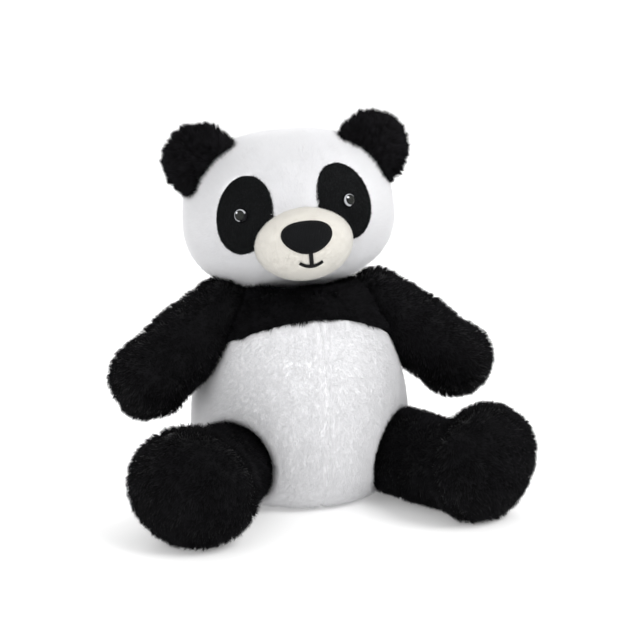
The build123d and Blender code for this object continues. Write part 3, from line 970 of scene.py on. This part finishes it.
def satin(tree, path, width, lift, step):
    """Satin stitches across a path on the face, close together."""
    path = np.array(path)
    gaps = np.linalg.norm(np.diff(path, axis=0), axis=1)
    run = np.concatenate([[0], np.cumsum(gaps)])
    lengths = []
    for d in np.arange(0, run[-1], step):
        x, z = np.interp(d, run, path[:, 0]), np.interp(d, run, path[:, 1])
        x2, z2 = np.interp(d + step, run, path[:, 0]), np.interp(d + step, run, path[:, 1])
        if d + step > run[-1]:
            continue
        way = unit(np.array([x2 - x, z2 - z]))
        across = np.array([-way[1], way[0]]) * width / 2 + way * 0.12
        ends = [on_surface(tree, x + across[0] * s, z + across[1] * s, lift) for s in (-1, 1)]
        lengths.append(ends)
    return lengths


def build_nose_and_mouth(tree):
    profile = [(0, 3.4), (0.3, 3.4), (0.55, 3.2), (0.72, 2.9), (0.84, 2.4), (0.93, 1.7),
               (0.98, 0.9), (1.0, 0.3)]
    points, faces = padded_patch(tree, nose_outline, profile, PAD_SINK)
    piece = mesh_object("nose_velvet", points, faces)
    place(piece, "head", materials["black_velour"], ["nose"])
    rim = [(np.array(nose_outline(k / 160)) - [NOSE_X, NOSE_Z]) * 0.965 + [NOSE_X, NOSE_Z]
           for k in range(161)]
    threads("nose_rim_stitches", satin(tree, rim, 2.6, 0.9, 0.5), 0.75, "head", "black_thread")
    bar = [(MOUTH_X - 0.4, NOSE_Z - NOSE_DROP + 1), (MOUTH_X, MOUTH_Z)]
    smile = []
    for k in range(21):
        share = k / 10 - 1
        smile.append((MOUTH_X + MOUTH_HALF_WIDTH * share, MOUTH_Z + MOUTH_SAG * share ** 2))
    lengths = satin(tree, bar, 3.2, 0.9, 0.42) + satin(tree, smile, 2.4, 0.95, 0.42)
    threads("mouth_stitches", lengths, 0.7, "head", "black_thread", ["mouth_stitch"])


def build_eyes():
    for name in SIDES:
        # An eye looks from its washer, at the foot of the stem, to its dome.
        ahead = unit(middle(f"eye_{name}") - middle(f"eye_washer_{name}"))
        right = unit(np.cross(ahead, [0, 0, 1.0]))
        up = np.cross(right, ahead)
        eye = frame["nodes"][f"eye_{name}"]
        points = np.array([v.co for v in eye.data.vertices]) / MM
        reach = points @ ahead
        dome = points[reach > reach.max() - 3.0]
        spot = (dome.min(axis=0) + dome.max(axis=0)) / 2
        eye.data.materials.clear()
        eye.data.materials.append(eye_material(f"eye_gloss_{name}", spot, -right, up, 5.2))
        washer = frame["nodes"][f"eye_washer_{name}"]
        washer.data.materials.clear()
        washer.data.materials.append(materials["washer_plastic"])


# ---- Ears


def build_ears():
    for name, side in SIDES.items():
        nodes = [f"ear_front_{name}", f"ear_back_{name}"]
        centre = middle(*nodes)
        points, faces = wrap(nodes, centre, SMALL_SKIN_LEVEL)
        points = relax(points, faces, 3)
        body = f"ear_{name}"
        hinge = joint_point(f"ear_fold_{name}")
        front_way = head_axes @ np.array([0, 1.0, 0])
        middle_at = (hinge @ front_way)
        points = snap_to(points, faces, lambda p: p @ front_way - middle_at)
        for half, facing in {"front": -1, "back": 1}.items():
            cut, cut_faces = part_of(points, faces,
                                     lambda p, f=facing: (p @ front_way - middle_at) * f > 0)
            cloth_piece(f"ear_{half}_cloth_{name}", cut, cut_faces, CLOTH, body,
                        materials["black_backing"], [f"ear_{half}_{name}"])
        out = unit(centre - hinge)

        def keep(p, hinge=hinge, out=out):
            return (p - hinge) @ out > -5.0

        grow(f"ear_pile_{name}", points, faces, EAR_STRANDS, EAR, towards(hinge), body,
             materials["black_pile_painted_sheen"], 71 + side, keep=keep)


# ---- Limbs


def build_arm(name, side):
    body = f"arm_{name}"
    nodes = [f"arm_cover_{name}"]
    points, faces = wrap(nodes, middle(*nodes), SMALL_SKIN_LEVEL)
    points = relax(points, faces, 2)
    shoulder = joint_point(f"arm_raise_{name}")
    low, high = box_mm(*nodes)
    way = unit(middle(*nodes) - shoulder)
    reach = (points - shoulder) @ way
    swell = 1.6 * bell(reach, 38, 26)
    points = points + normals_of(points, faces) * swell[:, None]
    points = points + waves(points, 45, 81 + side) * 0.7
    filling(f"arm_filling_{name}", points, faces, FILL_INSET, body, [f"arm_stuffing_{name}"])
    cloth_piece(f"arm_cloth_{name}", points, faces, CLOTH, body, materials["black_backing"],
                [f"arm_cover_{name}"])
    grow(f"arm_pile_{name}", points, faces, LIMB_STRANDS, BLACK, along(way, 0.5), body,
         materials["black_pile_painted_sheen"], 91 + side)


def build_leg(name, side):
    body = f"leg_{name}"
    nodes = [f"leg_cover_{name}"]
    hip = joint_point(f"leg_lift_{name}")
    centre = middle(*nodes)
    points, faces = wrap(nodes, centre, SKIN_LEVEL)
    points = relax(points, faces, 8)
    way = unit((centre - hip) * [1, 1, 0])
    across = np.array([-way[1], way[0], 0])
    foot_share = np.clip(((points - hip) @ way - 55) / 20, 0, 1)
    sideways = (points - centre) @ across
    points = points + across * (foot_share * sideways * 0.06)[:, None]
    points = points + waves(points, 55, 101 + side) * 0.8
    points[:, 2] = np.maximum(points[:, 2], 0.6)
    filling(f"leg_filling_{name}", points, faces, FILL_INSET, body, [f"leg_stuffing_{name}"])
    cloth_piece(f"leg_cloth_{name}", points, faces, CLOTH, body, materials["black_backing"],
                [f"leg_cover_{name}"])
    ankle = (centre - hip) @ way * 0.95
    combs = {"thigh": (along(way, 0.5), lambda p: (p - hip) @ way <= ankle),
             "foot": (along(way * 0.25, 1.0), lambda p: (p - hip) @ way > ankle)}
    for number, (part, (comb, keep)) in enumerate(combs.items()):
        grow(f"{part}_pile_{name}", points, faces, LIMB_STRANDS, BLACK, comb, body,
             materials["black_pile_painted_sheen"], 111 + 4 * number + side, keep=keep)


def build_plugs():
    """Balls of packed fibre that the head and limbs turn on, and the bag of pellets."""
    bodies = {"neck_plug": "neck", "pellet_bag": "torso"}
    for name in SIDES:
        bodies[f"shoulder_plug_{name}"] = f"shoulder_{name}"
        bodies[f"hip_plug_{name}"] = f"hip_{name}"
    for number, (node, body) in enumerate(bodies.items()):
        centre = middle(node)
        points, faces = wrap([node], centre, 5)
        lumps = waves(points, 9, number)[:, :1]
        points = points - normals_of(points, faces) * (0.5 + 0.25 * lumps)
        piece = mesh_object(f"{node}_soft", points, faces)
        material = "pellet_cloth" if node == "pellet_bag" else "fibre"
        place(piece, body, materials[material], [node])


# ---- Studio


def build_stage():
    """A pale floor that curves up into a backdrop."""
    points, faces = [], []
    steps = 24
    half, front, bend, radius, top = 30000, -30000, 2500, 1500, 6000
    line = [(front, 0), (bend, 0)]
    line += [(bend + radius * math.sin(a), radius * (1 - math.cos(a)))
             for a in np.linspace(0, math.pi / 2, steps)[1:]]
    line.append((bend + radius, top))
    for y, z in line:
        points += [(-half, y, z), (half, y, z)]
    for k in range(len(line) - 1):
        a = 2 * k
        faces += [(a, a + 1, a + 3), (a, a + 3, a + 2)]
    floor = mesh_object("floor", np.array(points, float), np.array(faces))
    g = Graph("pale_floor")
    g.put(g.shader.inputs["Emission Color"], rgba(1.0, 1.0, 1.0))
    g.put(g.shader.inputs["Emission Strength"], 0.22)
    floor.data.materials.append(
        g.finish(g.mix(g.noise(3.0), rgba(0.93, 0.93, 0.93), rgba(0.95, 0.95, 0.95)), 0.9, 0.1))


def lamp(name, place_at, aim, size, power):
    light = bpy.data.lights.new(name, "AREA")
    light.shape = "DISK"
    light.size = size
    light.energy = power
    made = bpy.data.objects.new(name, light)
    bpy.context.scene.collection.objects.link(made)
    made.location = place_at
    made.rotation_euler = (Vector(aim) - Vector(place_at)).to_track_quat("-Z", "Y").to_euler()


def build_lights():
    world = bpy.data.worlds.new("studio")
    bpy.context.scene.world = world
    world.use_nodes = True
    world.node_tree.nodes["Background"].inputs[0].default_value = rgba(1.0, 1.0, 1.0)
    world.node_tree.nodes["Background"].inputs[1].default_value = 0.75
    lamp("key", (1.1, -1.5, 1.9), (0, 0, 0.13), 1.3, 34)
    lamp("fill", (-1.8, -1.2, 0.9), (0, 0, 0.13), 1.6, 12)
    lamp("back", (0.3, 1.6, 1.6), (0, 0, 0.15), 1.4, 12)


def build_camera():
    """Seen from a little to the panda's right and a little above."""
    azimuth, elevation, distance = math.radians(-16), math.radians(12), 1.2
    back = Vector((math.sin(azimuth) * math.cos(elevation),
                   -math.cos(azimuth) * math.cos(elevation), math.sin(elevation)))
    right = Vector((math.cos(azimuth), math.sin(azimuth), 0))
    up = back.cross(right)
    camera = bpy.data.objects.new("camera", bpy.data.cameras.new("camera"))
    bpy.context.scene.collection.objects.link(camera)
    camera.data.lens = 84.4
    camera.data.sensor_width = 36
    camera.location = right * 0.016 + up * 0.1312 + back * distance
    camera.rotation_euler = Matrix((right, up, back)).transposed().to_euler()
    bpy.context.scene.camera = camera


# ---- The panda

torso_skin = build_torso()
build_seam_threads(*torso_skin)
head_skin = build_head()
ring_stitches(*head_skin)
head_tree = tree_of(*head_skin)
build_eye_patches(head_tree)
build_nose_and_mouth(build_muzzle())
build_eyes()
build_ears()
for side_name, side_way in SIDES.items():
    build_arm(side_name, side_way)
    build_leg(side_name, side_way)
build_plugs()

build_stage()
build_lights()
build_camera()
bpy.context.scene.view_settings.view_transform = "Standard"
